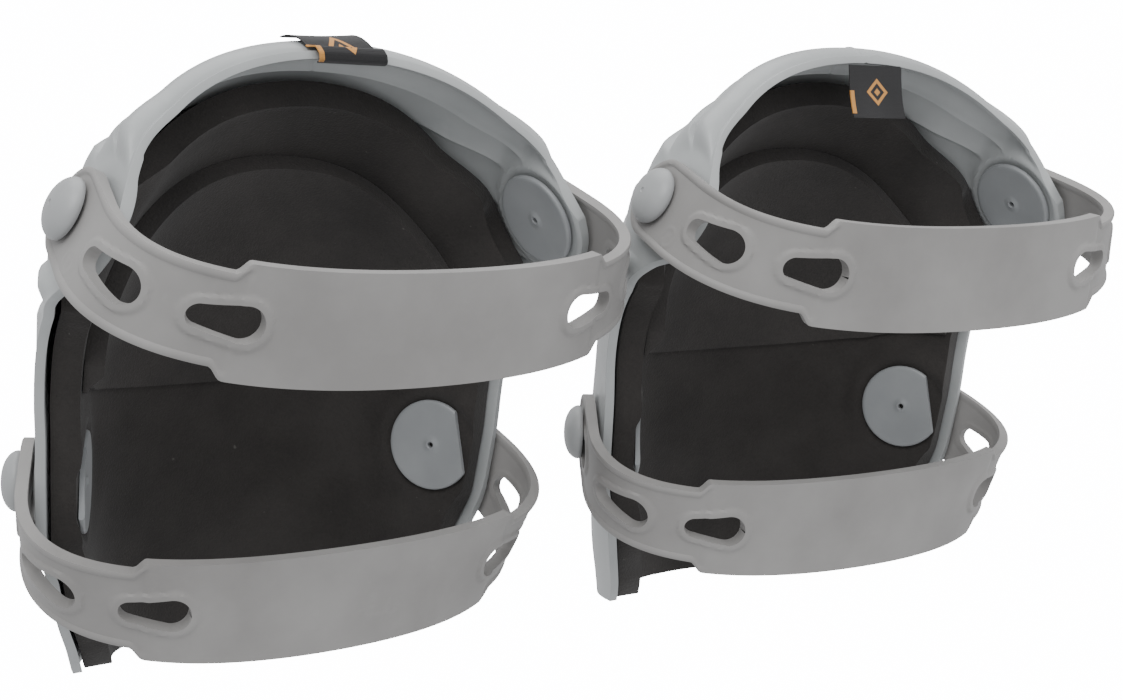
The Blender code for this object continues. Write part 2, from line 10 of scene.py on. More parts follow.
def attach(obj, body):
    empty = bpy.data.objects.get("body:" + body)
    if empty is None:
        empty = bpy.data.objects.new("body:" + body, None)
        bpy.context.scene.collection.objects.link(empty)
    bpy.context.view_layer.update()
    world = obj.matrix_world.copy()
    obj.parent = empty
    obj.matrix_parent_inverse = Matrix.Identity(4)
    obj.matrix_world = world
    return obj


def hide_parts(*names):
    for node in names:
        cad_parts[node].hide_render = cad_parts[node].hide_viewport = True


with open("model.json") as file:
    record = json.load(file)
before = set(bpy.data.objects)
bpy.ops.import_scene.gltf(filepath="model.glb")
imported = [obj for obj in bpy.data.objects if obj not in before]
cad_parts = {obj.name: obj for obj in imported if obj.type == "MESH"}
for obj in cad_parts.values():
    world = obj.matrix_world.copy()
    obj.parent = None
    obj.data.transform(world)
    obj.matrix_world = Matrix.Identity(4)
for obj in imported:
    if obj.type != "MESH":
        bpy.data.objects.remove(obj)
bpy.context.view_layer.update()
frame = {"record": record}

mm = 0.001  # all sizes below are in millimetres, on a pad that stands on its own origin

shellForm = {
    "wall": 3.0,
    "hoodStart": 4.3,  # ribs begin, counted in sections
    "hoodEnd": 8.6,  # ribs end and the fat roll begins
    "ribs": 5,
    "ribDepth": 2.7,
    "crest": 0.86,  # where along a rib its crest stands
    "ribFade": 7.0,
    "roll": 4.2,
    "lip": 9.82,  # thin lip of the rim
    "seam": 0.35,
    "ring": {"rise": 1.1, "place": 18.6, "width": 1.3},  # raised round the upper disc, inside
    "nub": {"rise": 0.9, "place": 5.0, "width": 1.8},  # on the rim, beside the seam
    "edge": 0.55,
    "seatFlat": 19.0,
    "seatBlend": 14.0,
    # front y, front z, edge y, edge z, half width, flare
    "sections": np.array([
        (52, -5, 9, -5, 56, 16),
        (50, 8, -6, 7, 64, 18),
        (44, 30, -22.7, 27, 75, 22),
        (32, 66, -35.7, 64.3, 82.5, 27),
        (21, 98, -43.7, 94.3, 85, 27),
        (9, 126, -55.7, 112, 86.5, 25),
        (-9, 152, -72.7, 120.5, 87, 24),
        (-33, 173, -83.7, 122.5, 86.5, 24),
        (-55, 185.5, -89.7, 126.5, 85, 24),
        (-71, 188.5, -93.7, 131.5, 82.5, 24),
        (-84, 188.5, -95.7, 137.5, 80, 24),
    ], dtype=float),
}
linerForm = {"wall": 9.2, "gap": 1.0, "base": 1.0, "inset": 3.5, "top": 8.3, "fall": 3.0, "edge": 2.4,
             "bed": 1.3, "across": 128, "along": 116}
cushionForm = {"count": 72, "low": 3.9, "top": 7.0, "fall": 2.7, "reach": 0.93, "wall": 6.0, "thin": 1.5, "edge": 1.3}
studForm = {
    "upper": {"place": (79.5, -75.7, 140.0), "turn": -1.2, "tilt": 23.7},
    "lower": {"place": (74.4, -18.7, 64.3), "turn": 27.5, "tilt": 4.5},
    "flange": 16.0, "flangeWall": 1.8, "chord": 11.5, "post": 2.8, "eye": 1.0, "eyeDeep": 3.4,
    "button": 9.5, "buttonRise": 6.0, "boss": 8.0, "bossRise": 1.2, "play": 0.9, "seatGap": 0.6, "press": 1.5,
}
strapForm = {
    "wall": 3.0, "width": 34.0, "endWidth": 27.0, "straight": 15.0, "bulge": 39.0, "flat": 58.0,
    "pitch": 33.0, "slot": 21.0, "small": 3.6, "big": 5.5, "twist": 0.5,
    "bead": 0.6, "rim": 0.75, "hole": 3.6, "along": 360, "across": 44, "tipShare": 0.06, "endRows": 24, "loopRows": 90,
    "upper": {"loop": 62.0, "droop": (37.0, 30.0)},
    "lower": {"loop": 66.0, "droop": (40.0, 33.0)},
}
labelForm = {"width": 24.0, "drop": 18.0, "turn": 4.5, "wall": 0.45, "offset": 4.0}
padSides = ("left", "right")


# small helpers for meshes
def clearSelection():
    if bpy.context.object and bpy.context.object.mode != "OBJECT":
        bpy.ops.object.mode_set(mode="OBJECT")
    bpy.ops.object.select_all(action="DESELECT")


def pick(piece):
    clearSelection()
    piece.select_set(True)
    bpy.context.view_layer.objects.active = piece


def readPlaces(piece):
    flat = np.empty(len(piece.data.vertices) * 3)
    piece.data.vertices.foreach_get("co", flat)
    return flat.reshape(-1, 3)


def writePlaces(piece, places):
    piece.data.vertices.foreach_set("co", np.ascontiguousarray(places, dtype=float).ravel())
    piece.data.update()


def applyModifier(piece, kind, **settings):
    pick(piece)
    made = piece.modifiers.new(kind.lower(), kind)
    for key, value in settings.items():
        setattr(made, key, value)
    bpy.ops.object.modifier_apply(modifier=made.name)


def flatSlab(name, acrossCount, alongCount):
    clearSelection()
    bpy.ops.mesh.primitive_grid_add(x_subdivisions=acrossCount, y_subdivisions=alongCount, size=2)
    piece = bpy.context.active_object
    piece.name = piece.data.name = name
    applyModifier(piece, "SOLIDIFY", thickness=0.2, offset=0)
    return piece


def slabShares(piece):
    places = readPlaces(piece)
    return (places[:, 0] + 1) / 2, (places[:, 1] + 1) / 2, places[:, 2] > 0


def faceOut(piece):
    mesh = bmesh.new()
    mesh.from_mesh(piece.data)
    if mesh.calc_volume(signed=True) < 0:
        bmesh.ops.reverse_faces(mesh, faces=mesh.faces)
    mesh.to_mesh(piece.data)
    mesh.free()


def roundEdges(piece, width, segments=3, angle=40):
    applyModifier(piece, "BEVEL", width=width * mm, segments=segments, limit_method="ANGLE",
                  angle_limit=math.radians(angle), harden_normals=False)


def smoothShade(piece, angle=38):
    pick(piece)
    bpy.ops.object.shade_smooth_by_angle(angle=math.radians(angle))


def trimBelow(piece, height):  # level cut, closed again
    pick(piece)
    bpy.ops.object.mode_set(mode="EDIT")
    bpy.ops.mesh.select_all(action="SELECT")
    bpy.ops.mesh.bisect(plane_co=(0, 0, height * mm), plane_no=(0, 0, 1), use_fill=True, clear_inner=True)
    bpy.ops.object.mode_set(mode="OBJECT")


def spinProfile(name, profile, steps):  # radius, height pairs turned about Z
    clearSelection()
    bpy.ops.mesh.primitive_plane_add(size=1)
    piece = bpy.context.active_object
    piece.name = piece.data.name = name
    piece.data.clear_geometry()
    points = [(radius, 0, height) for radius, height in profile]
    piece.data.from_pydata(points, [(k, k + 1) for k in range(len(points) - 1)], [])
    bpy.ops.object.mode_set(mode="EDIT")
    bpy.ops.mesh.select_all(action="SELECT")
    bpy.ops.mesh.spin(steps=steps, angle=2 * math.pi, center=(0, 0, 0), axis=(0, 0, 1))
    bpy.ops.mesh.select_all(action="SELECT")
    bpy.ops.mesh.remove_doubles(threshold=0.0005)
    bpy.ops.mesh.normals_make_consistent(inside=False)
    bpy.ops.object.mode_set(mode="OBJECT")
    return piece


def placeInWorld(piece, matrix):  # local millimetres to metres in the frame
    places = readPlaces(piece)
    turn = np.array(matrix.to_3x3())
    writePlaces(piece, (places * mm) @ turn.T + np.array(matrix.translation))


def smooth(value):
    value = np.clip(value, 0, 1)
    return value * value * (3 - 2 * value)


# form of the moulded shell
sections = shellForm["sections"]
lastSection = len(sections) - 1


def outward(level):
    form = studForm[level]
    turn, tilt = math.radians(form["turn"]), math.radians(form["tilt"])
    return np.array((math.cos(turn) * math.cos(tilt), math.sin(turn) * math.cos(tilt), math.sin(tilt)))


studSeats = {level: (np.array(studForm[level]["place"]), outward(level)) for level in ("upper", "lower")}


def sectionAt(station):
    station = np.clip(station, 0, lastSection)
    low = np.minimum(station.astype(int), lastSection - 1)
    part = (station - low)[..., None]
    first, second = sections[low], sections[low + 1]
    start = 0.5 * (second - sections[np.maximum(low - 1, 0)])
    end = 0.5 * (sections[np.minimum(low + 2, lastSection)] - first)
    start = np.where((low == 0)[..., None], second - first, start)
    end = np.where((low == lastSection - 1)[..., None], second - first, end)
    square, cube = part ** 2, part ** 3
    return ((2 * cube - 3 * square + 1) * first + (cube - 2 * square + part) * start
            + (3 * square - 2 * cube) * second + (cube - square) * end)


def shellPoint(station, side):  # side runs from -1 at the left edge to 1 at the right one
    frontY, frontZ, edgeY, edgeZ, half, flare = np.moveaxis(sectionAt(station), -1, 0)
    back = np.abs(side)
    reach = np.hypot(frontY - edgeY, frontZ - edgeZ)
    flare, handle = np.radians(flare), 0.36 * reach
    second, third, fourth = 3 * back * (1 - back) ** 2, 3 * back ** 2 * (1 - back), back ** 3
    depth = third * (reach - handle * np.cos(flare)) + fourth * reach
    across = second * 0.72 * half + third * (half - handle * np.sin(flare)) + fourth * half
    y = frontY + (edgeY - frontY) * depth / reach
    z = frontZ + (edgeZ - frontZ) * depth / reach
    for place, out in studSeats.values():
        away = np.hypot(y - place[1], z - place[2])
        seat = place[0] - (out[1] * (y - place[1]) + out[2] * (z - place[2])) / out[0]
        blend = 1 - smooth((away - shellForm["seatFlat"]) / shellForm["seatBlend"])
        across = np.where(across > 0.5 * place[0], across + (seat - across) * blend, across)
    return np.stack((across * np.sign(side), y, z), -1)


def shellNormal(station, side):
    step = 0.015
    low, high = np.clip(station - step, 0, lastSection), np.clip(station + step, 0, lastSection)
    along = shellPoint(high, side) - shellPoint(low, side)
    around = shellPoint(station, np.clip(side + step, -1, 1)) - shellPoint(station, np.clip(side - step, -1, 1))
    normal = np.cross(along, around)
    return normal / np.linalg.norm(normal, axis=-1, keepdims=True)


def seatDistance(points, level):  # across the face of a stud's seat, on both sides
    place, out = studSeats[level]
    mirrored = np.abs(points[..., 0:1])
    away = np.concatenate((mirrored, points[..., 1:]), -1) - place
    height = away @ out
    return np.linalg.norm(away - height[..., None] * out, axis=-1)


def ribRise(station, side, points):
    form = shellForm
    fade = smooth((seatDistance(points, "upper") - form["seatFlat"]) / form["ribFade"])
    fade = fade * (1 - smooth((np.abs(side) - 0.86) / 0.12))
    turn = np.clip((station - form["hoodStart"]) / (form["hoodEnd"] - form["hoodStart"]), 0, 1) * form["ribs"]
    share = turn - np.floor(turn)
    crest = form["crest"]
    saw = np.where(share < crest, (share / crest) ** 0.75, 1 - smooth((share - crest) / (1 - crest)))
    inside = (station > form["hoodStart"]) & (station < form["hoodEnd"])
    strength = 0.45 + 0.55 * smooth((turn - 0.2) / 1.5)  # the first rib is shallow
    rise = np.where(inside, form["ribDepth"] * saw * strength, 0.0)
    band = np.clip((station - form["hoodEnd"]) / (form["lip"] - form["hoodEnd"]), 0, 1)
    roll = form["roll"] * np.sin(math.pi * band) ** 0.62
    seam = form["seam"] * np.exp(-(points[..., 0] / 0.45) ** 2) * smooth((station - 8.2) / 0.4)
    return (rise + np.where(station > form["hoodEnd"], roll, 0.0)) * fade + seam


def shellStations():
    form = shellForm
    shin = np.linspace(0, form["hoodStart"], 44, endpoint=False)
    ribs = np.linspace(form["hoodStart"], form["hoodEnd"], form["ribs"] * 18, endpoint=False)
    return np.concatenate((shin, ribs, np.linspace(form["hoodEnd"], lastSection, 34)))


def shellSides():
    fine = np.array((0.0, 0.003, 0.006, 0.01, 0.016))
    half = np.concatenate((fine, np.linspace(0.03, 1.0, 52)))
    return np.concatenate((-half[:0:-1], half))


def padMatrix(pad):  # from the hinge of the pad's upper strap
    joints = frame["record"]["behaviour"]["joints"]
    hinge = next(joint for joint in joints if joint["name"] == f"{pad}_upper_strap_swing")
    turn = Matrix.Rotation(math.atan2(hinge["axis"][1], hinge["axis"][0]), 4, "Z")
    start = strapStart("upper")
    local = turn @ Vector((0, start[1] * mm, start[2] * mm))
    return Matrix.Translation(Vector(hinge["pos_m"]) - local) @ turn


def strapStart(level):
    place, out = studSeats[level]
    return place + out * (shellForm["wall"] / 2 + studForm["bossRise"] + studForm["play"] + strapForm["wall"] / 2)


def makeShell(pad):
    stations, sides = shellStations(), shellSides()
    piece = flatSlab(f"{pad}_shell_moulded", len(sides) - 1, len(stations) - 1)
    acrossShare, alongShare, outside = slabShares(piece)
    side = sides[np.rint(acrossShare * (len(sides) - 1)).astype(int)]
    station = stations[np.rint(alongShare * (len(stations) - 1)).astype(int)]
    side = np.where(side == 0, 1e-9, side)
    points, normals = shellPoint(station, side), shellNormal(station, side)
    rise = ribRise(station, side, points)
    upper, lower = seatDistance(points, "upper"), seatDistance(points, "lower")
    half = shellForm["wall"] / 2
    outer = rise + half + 0.8 * (1 - smooth((lower - 16) / 3))
    # inside: a raised ring round the upper disc, and a moulded step beside the rim
    bump = shellForm["ring"]
    ring = bump["rise"] * np.exp(-((upper - bump["place"]) / bump["width"]) ** 2) * (np.abs(side) > 0.45)
    step = 0.5 * smooth((station - 9.6) / 0.1)
    inner = rise - half - ring + step * (upper > 24)
    bump = shellForm["nub"]
    nub = bump["rise"] * np.exp(-((points[:, 0] - bump["place"]) / bump["width"]) ** 2)
    nub = nub * smooth((station - 9.85) / 0.1)
    outer = outer + nub
    lift = np.where(outside, outer, inner)
    writePlaces(piece, points + normals * lift[:, None])
    placeInWorld(piece, padMatrix(pad))
    faceOut(piece)
    trimBelow(piece, 0)
    roundEdges(piece, shellForm["edge"], 3, 50)
    smoothShade(piece, 50)
    return piece


def foamLift(station):
    return shellForm["wall"] / 2 + linerForm["gap"] + 0.5 * smooth(station - shellForm["hoodStart"] + 1)


def makeLiner(pad):
    piece = flatSlab(f"{pad}_liner_foam", linerForm["across"], linerForm["along"])
    acrossShare, alongShare, outside = slabShares(piece)
    side, up = acrossShare * 2 - 1, alongShare
    side = np.where(np.abs(side) < 1e-6, 1e-9, side)
    station = up * (linerForm["top"] - linerForm["fall"] * np.abs(side) ** 1.6)
    side = side * (1 - linerForm["inset"] / 75)
    points, normals = shellPoint(station, side), shellNormal(station, side)
    edge = np.minimum.reduce((1 - np.abs(side), (1 - up) * 1.6, up * 3 + 0.05))
    wall = linerForm["wall"] * (0.93 + 0.07 * smooth(edge / 0.12))
    bed = linerForm["bed"] * (1 - smooth((seatDistance(points, "lower") - 16.4) / 1.8))
    puff = 0.5 * np.exp(-((seatDistance(points, "lower") - 20.5) / 2.6) ** 2)
    inward = foamLift(station) + np.where(outside, 0.1, wall - bed + puff)
    writePlaces(piece, points - normals * inward[:, None])
    placeInWorld(piece, padMatrix(pad))
    faceOut(piece)
    trimBelow(piece, linerForm["base"])
    roundEdges(piece, linerForm["edge"], 4, 50)
    smoothShade(piece, 60)
    return piece


def makeCushion(pad):
    form = cushionForm
    piece = flatSlab(f"{pad}_cushion_foam", form["count"], form["count"])
    acrossShare, up, outside = slabShares(piece)
    side = acrossShare * 2 - 1
    side = np.where(np.abs(side) < 1e-6, 1e-9, side)
    station = form["low"] + up * (form["top"] - form["fall"] * side ** 2 - form["low"])
    side = side * form["reach"]
    points, normals = shellPoint(station, side), shellNormal(station, side)
    crown = form["thin"] + (form["wall"] - form["thin"]) * smooth(1.5 * up)
    inward = foamLift(station) + linerForm["wall"] + np.where(outside, 0.1, crown)
    writePlaces(piece, points - normals * inward[:, None])
    placeInWorld(piece, padMatrix(pad))
    faceOut(piece)
    roundEdges(piece, form["edge"], 4, 45)
    smoothShade(piece, 60)
    return piece


# studs
def studMatrix(level, sign):
    place, out = studSeats[level]
    place, out = Vector(place * (sign, 1, 1)), Vector(out * (sign, 1, 1))
    back = Vector((0, -1, 0))
    back = (back - back.dot(out) * out).normalized()
    turned = Matrix((back, out.cross(back), out)).transposed().to_4x4()
    return Matrix.Translation(place * mm) @ turned


def studHeights(level):
    form = studForm
    foam = 9.0 + linerForm["gap"] - form["press"] if level == "lower" else 0.0
    top = -(shellForm["wall"] / 2 + form["seatGap"] + foam)
    button = shellForm["wall"] / 2 + form["bossRise"] + 2 * form["play"] + strapForm["wall"]
    return top, button


def makeFlange(name, level):
    form = studForm
    top, button = studHeights(level)
    low, reach = top - form["flangeWall"], form["flange"]
    profile = [(0, low + form["eyeDeep"]), (form["eye"], low + form["eyeDeep"])]
    profile += [(form["eye"], low + 0.35), (form["eye"] + 0.25, low + 0.12)]
    profile += [(form["eye"] + 0.8, low + 0.12), (form["eye"] + 1.2, low + 0.45)]  # small ring round the eye
    profile += [(4, low + 0.5), (8, low + 0.4), (12, low + 0.22), (reach - 1.6, low), (reach - 0.7, low)]
    profile += [(reach - 0.25, low + 0.18), (reach, low + 0.6), (reach, top - 0.35), (reach - 0.35, top)]
    profile += [(form["post"] + 0.8, top), (form["post"], top + 0.8), (form["post"], button + 3), (0, button + 3)]
    piece = spinProfile(name, profile, 96)
    if level == "lower":  # straight cut beside the liner's edge
        pick(piece)
        bpy.ops.object.mode_set(mode="EDIT")
        bpy.ops.mesh.select_all(action="SELECT")
        bpy.ops.mesh.bisect(plane_co=(form["chord"], 0, 0), plane_no=(1, 0, 0), use_fill=True,
                            clear_outer=True)
        bpy.ops.object.mode_set(mode="OBJECT")
    return piece


def makeButton(name, level):
    form = studForm
    low = studHeights(level)[1]
    reach, rise = form["button"], form["buttonRise"]
    profile = [(0, low), (reach - 1.0, low), (reach - 0.35, low + 0.2), (reach, low + 0.9)]
    for k in range(1, 12):
        turn = k / 12 * math.pi / 2
        profile.append((reach * math.cos(turn) ** 0.9, low + 0.9 + (rise - 0.9) * math.sin(turn)))
    profile += [(0.9, low + rise), (0.6, low + rise - 0.35), (0, low + rise - 0.35)]
    return spinProfile(name, profile, 72)


def makeBoss(name):
    form = studForm
    low, top = shellForm["wall"] / 2 - 0.6, shellForm["wall"] / 2 + form["bossRise"]
    outline = [(3.2, low), (form["boss"] + 1.0, low), (form["boss"], top - 0.3)]
    outline += [(form["boss"] - 0.3, top), (3.4, top), (3.2, low)]
    return spinProfile(name, outline, 64)


# straps
def strapHalf(level, droop, loop):
    form = strapForm
    out = studSeats[level][1]
    start = strapStart(level)
    droop = math.radians(droop)
    down = np.array((0, -math.cos(droop), -math.sin(droop)))
    along = down - down.dot(out) * out
    along /= np.linalg.norm(along)
    across = np.cross(out, along)
    across = across if across[2] > 0 else -across
    lean = droop * form["twist"]
    backAcross = np.array((0, -math.sin(lean), math.cos(lean)))
    back = np.array((0, start[1], start[2])) + down * loop
    turnIn = start + along * form["straight"]
    reaches = np.linspace(-form["endWidth"] / 2, form["straight"], form["endRows"], endpoint=False)
    ends = [start + along * reach for reach in reaches]
    t = np.linspace(0, 1, form["loopRows"])[:, None]
    curve = (turnIn * (1 - t) ** 3 + (turnIn + along * form["bulge"]) * 3 * t * (1 - t) ** 2
             + (back + np.array((form["flat"], 0, 0))) * 3 * t * t * (1 - t) + back * t ** 3)
    widths = across + (backAcross - across) * smooth(t)
    return np.vstack((ends, curve)), np.vstack((np.repeat(across[None], form["endRows"], 0), widths))


def strapPath(level, droop, loop):  # from the left tip to the right tip
    line, width = strapHalf(level, droop, loop)
    mirror = np.array((-1, 1, 1))
    line = np.vstack((line * mirror, line[-2::-1]))
    width = np.vstack((width * mirror, width[-2::-1]))
    width /= np.linalg.norm(width, axis=1, keepdims=True)
    along = np.gradient(line, axis=0)
    along /= np.linalg.norm(along, axis=1, keepdims=True)
    out = np.cross(along, width)
    out /= np.linalg.norm(out, axis=1, keepdims=True)
    if out[len(out) // 2][1] > 0:
        out = -out
    lengths = np.concatenate(([0], np.cumsum(np.linalg.norm(np.diff(line, axis=0), axis=1))))
    return lengths, line, width, out


def alongPath(path, distance):
    lengths = path[0]
    return [np.stack([np.interp(distance, lengths, part[:, k]) for k in range(3)], -1) for part in path[1:]]


def strapWidth(distance, length):
    form = strapForm
    near = np.minimum(distance, length - distance)
    radius = form["endWidth"] / 2
    tip = 2 * np.sqrt(np.maximum(radius ** 2 - (radius - near) ** 2, 2.0))
    body = form["endWidth"] + (form["width"] - form["endWidth"]) * smooth((near - radius - 2 * form["pitch"]) / 4)
    return np.where(near < radius, tip, body)


def slotPlaces(length, fixedSide):
    form = strapForm
    radius, gap = form["endWidth"] / 2, form["slot"] - form["small"] - form["big"]
    places = []
    for end in (-1, 1):
        for k in range(1 if end == fixedSide else 0, 3):
            distance = radius + form["pitch"] * k + (0 if end == fixedSide else gap / 2)
            places.append((distance if end < 0 else length - distance, end))
    return places, gap


def slotDistance(u, v, place, end, gap):  # to the outline of a teardrop, less than nothing inside
    form = strapForm
    x = (u - place) * end
    share = np.clip((x + gap / 2) / gap, 0, 1)  # nought at the big end
    radius = form["big"] + (form["small"] - form["big"]) * share
    return np.hypot(x - (share - 0.5) * gap, v) - radius


def makeSlotCutter(place, end, gap):
    form = strapForm
    clearSelection()
    bpy.ops.mesh.primitive_circle_add(vertices=56, radius=1, fill_type="NGON")
    piece = bpy.context.active_object
    ring = readPlaces(piece)
    lean = math.asin((form["big"] - form["small"]) / gap)
    turn = np.arctan2(ring[:, 1], ring[:, 0])
    smallEnd = np.abs(turn) < math.pi / 2 - lean
    x = np.where(smallEnd, gap / 2 + form["small"] * np.cos(turn), -gap / 2 + form["big"] * np.cos(turn))
    y = np.where(smallEnd, form["small"], form["big"]) * np.sin(turn)
    writePlaces(piece, np.stack((place + end * x, y, np.full(len(x), -6.0)), -1))
    pick(piece)
    bpy.ops.object.mode_set(mode="EDIT")
    bpy.ops.mesh.select_all(action="SELECT")
    bpy.ops.mesh.extrude_region_move(TRANSFORM_OT_translate={"value": (0, 0, 12)})
    bpy.ops.mesh.select_all(action="SELECT")
    bpy.ops.mesh.normals_make_consistent(inside=False)
    bpy.ops.object.mode_set(mode="OBJECT")
    return piece


def makeStrap(pad, level, fixedSide):
    form = strapForm
    droop = form[level]["droop"][padSides.index(pad)]
    path = strapPath(level, droop, form[level]["loop"])
    length = path[0][-1]
    piece = flatSlab(f"{pad}_{level}_strap_rubber", form["along"], form["across"])
    shareU, shareV, outside = slabShares(piece)
    u = length * shareU
    tip = form["tipShare"]
    u = np.where(shareU < tip, length * tip * (shareU / tip) ** 1.5, u)  # closer rows round the tips
    u = np.where(shareU > 1 - tip, length * (1 - tip * ((1 - shareU) / tip) ** 1.5), u)
    width = strapWidth(u, length)
    v = (shareV - 0.5) * width
    near = np.minimum(u, length - u)
    slots, gap = slotPlaces(length, fixedSide)
    radius = form["endWidth"] / 2
    edge = np.where(near < radius, radius - np.hypot(np.maximum(radius - near, 0), v), width / 2 - np.abs(v))
    bead = form["bead"] * (1 - smooth((edge - 1.6) / 0.8)) * smooth((edge + 0.4) / 0.8)
    rims = np.zeros(len(u))
    for place, end in slots:
        rims = np.maximum(rims, form["rim"] * (1 - smooth((slotDistance(u, v, place, end, gap) - 1.9) / 0.8)))
    belt = smooth((near - radius - 2 * form["pitch"] - 3) / 2)  # the plain back stands a little proud
    relief = np.maximum(bead * (1 - belt), rims)
    lift = form["wall"] / 2 + np.where(outside, relief + form["bead"] * belt, 0.5 * relief)
    stamp = stampRelief(u, v, length, fixedSide)
    onStampSide = outside if level == "upper" else ~outside
    lift = lift + np.where(onStampSide, stamp, 0)
    writePlaces(piece, np.stack((u, v, np.where(outside, lift, -lift)), -1))
    faceOut(piece)
    for place, end in slots:
        cutter = makeSlotCutter(place, end, gap)
        pick(piece)
        applyModifier(piece, "BOOLEAN", operation="DIFFERENCE", solver="EXACT", object=cutter)
        bpy.data.objects.remove(cutter, do_unlink=True)
    clearSelection()
    bpy.ops.mesh.primitive_cylinder_add(vertices=40, radius=form["hole"], depth=14,
                                        location=(radius if fixedSide < 0 else length - radius, 0, 0))
    cutter = bpy.context.active_object
    applyModifier(piece, "BOOLEAN", operation="DIFFERENCE", solver="EXACT", object=cutter)
    bpy.data.objects.remove(cutter, do_unlink=True)
    flat = readPlaces(piece)
    middle, across, out = alongPath(path, flat[:, 0])
    writePlaces(piece, middle + across * flat[:, 1:2] + out * flat[:, 2:3])
    placeInWorld(piece, padMatrix(pad))
    faceOut(piece)
    smoothShade(piece, 35)
    return piece


def stampRelief(u, v, length, fixedSide):  # small round mark of plain spokes
    centre = 30.5 if fixedSide < 0 else length - 30.5
    x, y = u - centre, v + 7.5
    away, turn = np.hypot(x, y), np.arctan2(y, x)
    ring = 0.22 * np.exp(-((away - 3.2) / 0.35) ** 2)
    spokes = 0.18 * np.exp(-(np.sin(turn * 4) * away / 0.4) ** 2) * (away < 3.0)
    return np.where(away < 4.5, np.maximum(ring, spokes), 0)


# label
def makeLabel(pad):
    form = labelForm
    piece = flatSlab(f"{pad}_label_woven", 40, 40)
    shareX, shareY, outside = slabShares(piece)
    top = shellPoint(np.array((float(lastSection),)), np.array((1e-9,)))[0]
    x = (shareX - 0.5) * form["width"]
    if pad == "right":  # hangs from the underside of the rim
        down = (1 - shareY) * form["drop"]
        y = 1.2 * np.sin(down / form["drop"] * 2.4) + 0.35 * np.sin(x * 0.22 + 0.6) * down / form["drop"]
        line = np.stack((x + form["offset"] + 0.08 * down, top[1] + y, top[2] - 1.7 - down), -1)
        normal = np.array((0, -1, 0)) * np.ones((len(x), 1))
    else:  # folded back over the rim on to the roll
        ends = np.linspace(lastSection, 8.9, 16)
        points, normals = shellPoint(ends, np.full(16, 1e-9)), shellNormal(ends, np.full(16, 1e-9))
        above = points + normals * (ribRise(ends, np.full(16, 1e-9), points) + shellForm["wall"] / 2 + 0.7)[:, None]
        under = points[:3] - normals[:3] * (shellForm["wall"] / 2 + 0.5)
        bend = [under[0] + (0, -1.6, 0.4), (under[0] + above[0]) / 2 + (0, -2.4, 0), above[0] + (0, -1.6, -0.3)]
        fold = np.vstack((under[::-1], bend, above))
        steps = np.concatenate(([0], np.cumsum(np.linalg.norm(np.diff(fold, axis=0), axis=1))))
        run = shareY * (form["drop"] + form["turn"])
        line, ahead = [np.stack([np.interp(run + more, steps, fold[:, k]) for k in range(3)], -1)
                       for more in (0, 0.5)]
        normal = np.cross(ahead - line, (1, 0, 0))
        normal /= np.maximum(np.linalg.norm(normal, axis=1, keepdims=True), 1e-6)
        normal *= -np.sign(normal[np.argmin(run)][2])
        line = line + normal * (1.6 * smooth((run - 12) / 12) * shareX ** 2)[:, None]
        line[:, 0] = x + form["offset"] - 0.3 * run
    half = np.where(outside, 1, -1)[:, None] * form["wall"] / 2
    writePlaces(piece, line + normal * half)
    placeInWorld(piece, padMatrix(pad))
    faceOut(piece)
    smoothShade(piece, 60)
    return piece


# materials
class Wire:
    def __init__(self, tree, socket=None):
        self.tree, self.socket = tree, socket

    def add(self, kind, settings, inputs, out=0):
        node = self.tree.nodes.new(kind)
        for key, value in settings.items():
            if key == "stops":
                ramp = node.color_ramp.elements
                while len(ramp) < len(value):
                    ramp.new(0.5)
                for stop, (place, colour) in zip(ramp, value):
                    stop.position, stop.color = place, colour
            else:
                setattr(node, key, value)
        for key, value in inputs.items():
            if isinstance(value, Wire):
                self.tree.links.new(value.socket, node.inputs[key])
            else:
                node.inputs[key].default_value = value
        return Wire(self.tree, node.outputs[out])

    def sum(self, operation, first, second=0.0):
        return self.add("ShaderNodeMath", {"operation": operation}, {0: first, 1: second})

    def __add__(self, other):
        return self.sum("ADD", self, other)

    def __sub__(self, other):
        return self.sum("SUBTRACT", self, other)

    def __rsub__(self, other):
        return self.sum("SUBTRACT", other, self)

    def __mul__(self, other):
        return self.sum("MULTIPLY", self, other)

    def __truediv__(self, other):
        return self.sum("DIVIDE", self, other)

    __radd__ = __add__
    __rmul__ = __mul__

    def less(self, other):
        return self.sum("LESS_THAN", self, other)

    def mix(self, factor, first, second):
        return self.add("ShaderNodeMix", {"data_type": "RGBA"}, {0: factor, 6: first, 7: second}, 2)

    def noise(self, where, scale, detail=4.0, rough=0.55):
        return self.add("ShaderNodeTexNoise", {},
                        {"Vector": where, "Scale": scale, "Detail": detail, "Roughness": rough})


def newMaterial(name):
    made = bpy.data.materials.new(name)
    made.use_nodes = True
    tree = made.node_tree
    shader = tree.nodes["Principled BSDF"]
    return made, Wire(tree), shader


def join(wire, shader, name):
    wire.tree.links.new(wire.socket, shader.inputs[name])


